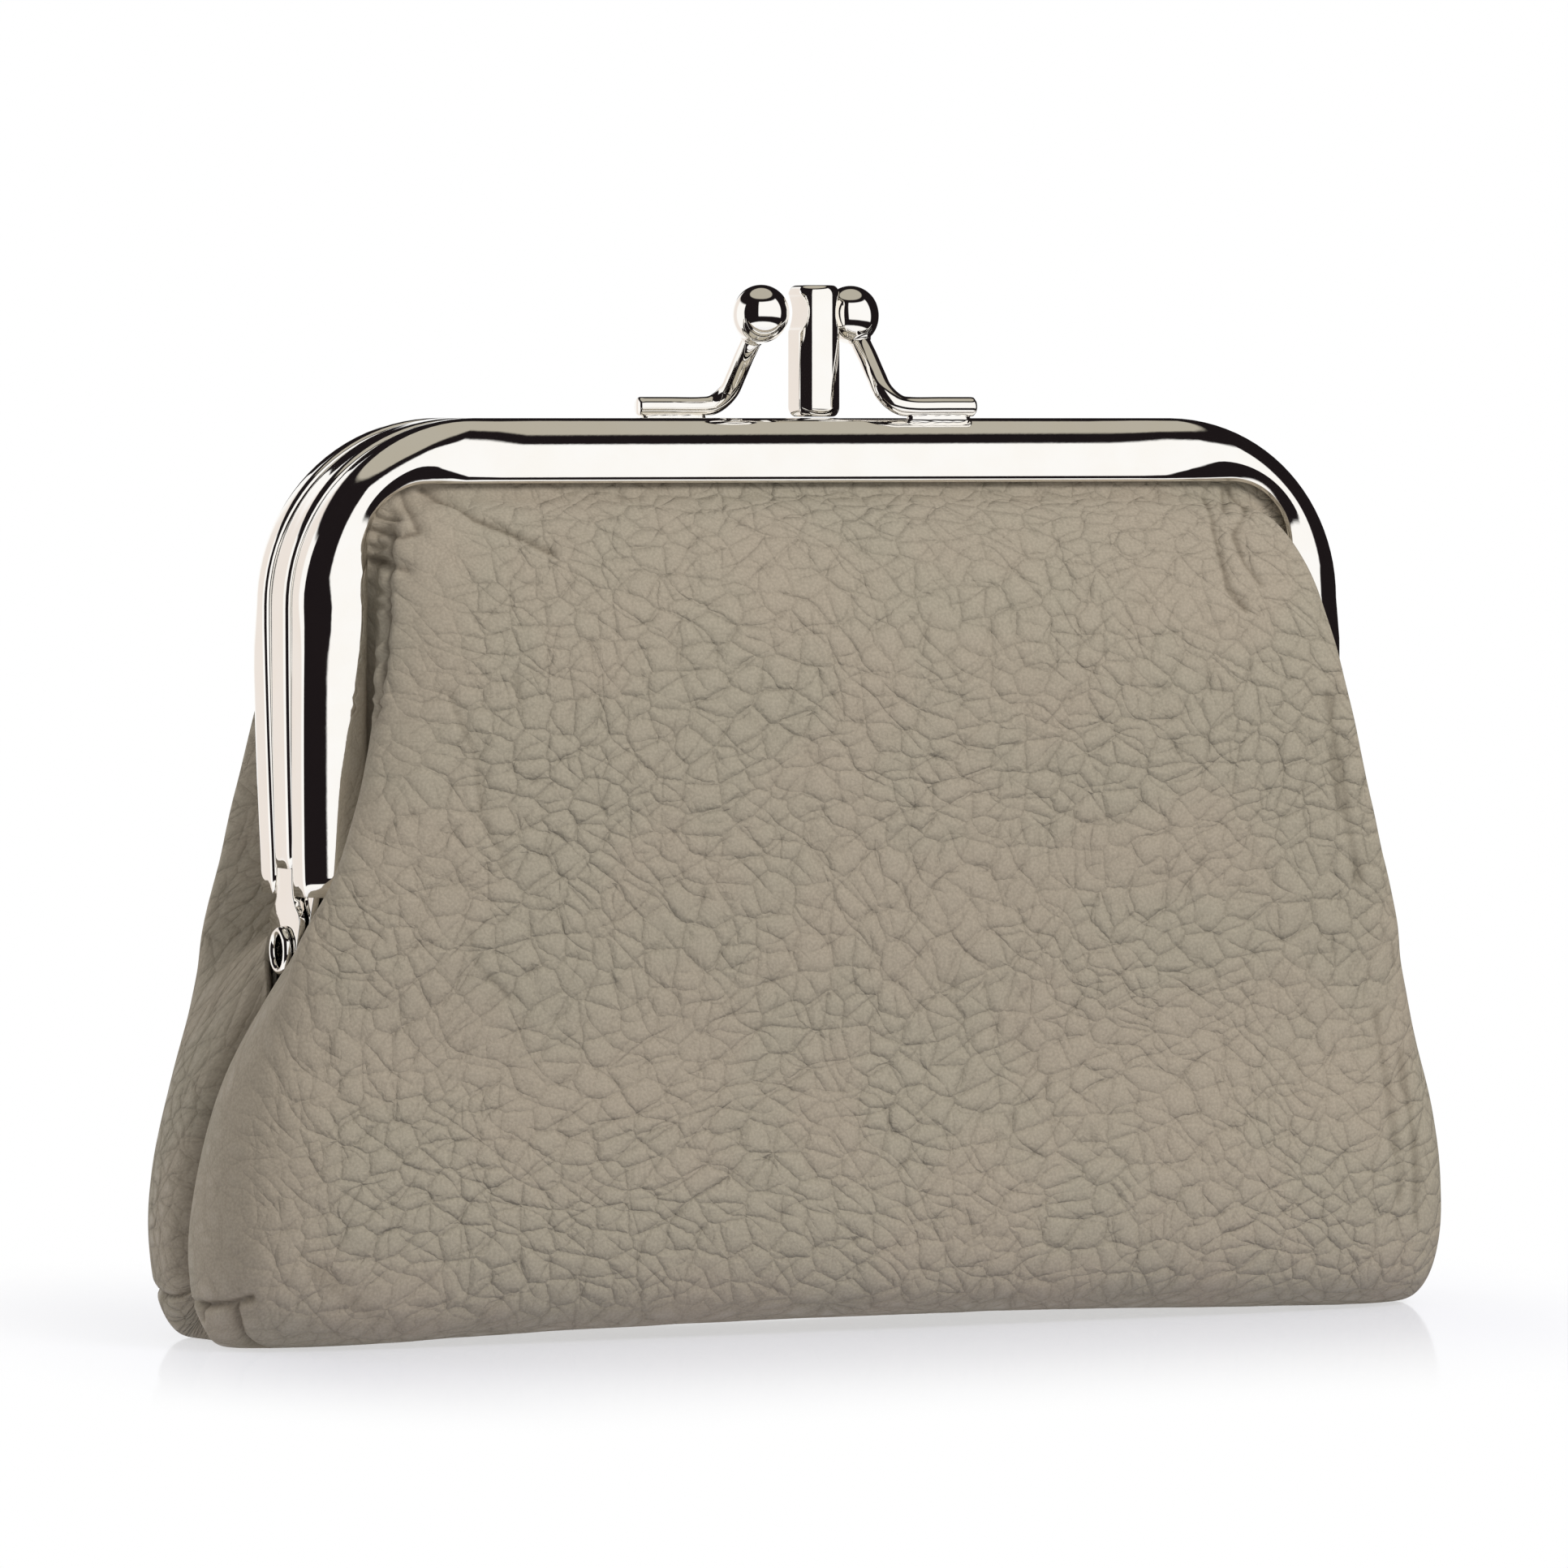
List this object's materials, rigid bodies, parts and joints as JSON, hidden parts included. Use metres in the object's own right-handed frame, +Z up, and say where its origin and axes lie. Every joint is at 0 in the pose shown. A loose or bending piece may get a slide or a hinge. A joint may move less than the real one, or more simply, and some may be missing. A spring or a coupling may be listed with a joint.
{
  "type": "kiss-lock coin purse",
  "caption": "Small leather coin purse that opens at a polished bow frame with a ball clasp and hinge rivets, and holds coins in a front and a rear pocket.",
  "frame": {"origin": "centre of the overall box's bottom face, where the purse rests", "axes": "+X along the frame to the right, +Y from the front panel to the rear panel, +Z up to the clasp"},
  "size_m": [0.1188, 0.0336, 0.0922],
  "materials": {
    "polished_metal": "plated sheet metal, pale gold, polished",
    "pebbled_leather": "taupe leather with a soft pebbled grain, satin",
    "lining_fabric": "thin woven lining, matt",
    "divider_fabric": "woven cover on a stiff board, matt",
    "paper_cord": "twisted paper, matt"
  },
  "bodies": {
    "pouch_base": {"centre_frame": "polished_metal", "clasp_post": "polished_metal", "hinge_rivet_left": "polished_metal", "hinge_rivet_right": "polished_metal", "divider": "divider_fabric", "centre_cord": "paper_cord", "front_leather_lower": "pebbled_leather", "front_leather_fold": "pebbled_leather", "front_lining_lower": "lining_fabric", "rear_leather_lower": "pebbled_leather", "rear_leather_fold": "pebbled_leather", "rear_lining_lower": "lining_fabric"},
    "front_bow": {"front_frame": "polished_metal", "front_clasp_arm": "polished_metal", "front_clasp_ball": "polished_metal", "front_cord": "paper_cord", "front_leather_upper": "pebbled_leather", "front_lining_upper": "lining_fabric"},
    "rear_bow": {"rear_frame": "polished_metal", "rear_clasp_arm": "polished_metal", "rear_clasp_ball": "polished_metal", "rear_cord": "paper_cord", "rear_leather_upper": "pebbled_leather", "rear_lining_upper": "lining_fabric"}
  },
  "joints": [
    {"name": "front_bow_hinge", "type": "hinge", "parent": "pouch_base", "child": "front_bow", "pos_m": [0, 0, 0.034], "axis": [1, 0, 0], "range_deg": [0, 50], "deforming": ["front_leather_fold"]},
    {"name": "rear_bow_hinge", "type": "hinge", "parent": "pouch_base", "child": "rear_bow", "pos_m": [0, 0, 0.034], "axis": [-1, 0, 0], "range_deg": [0, 50], "deforming": ["rear_leather_fold"]}
  ]
}
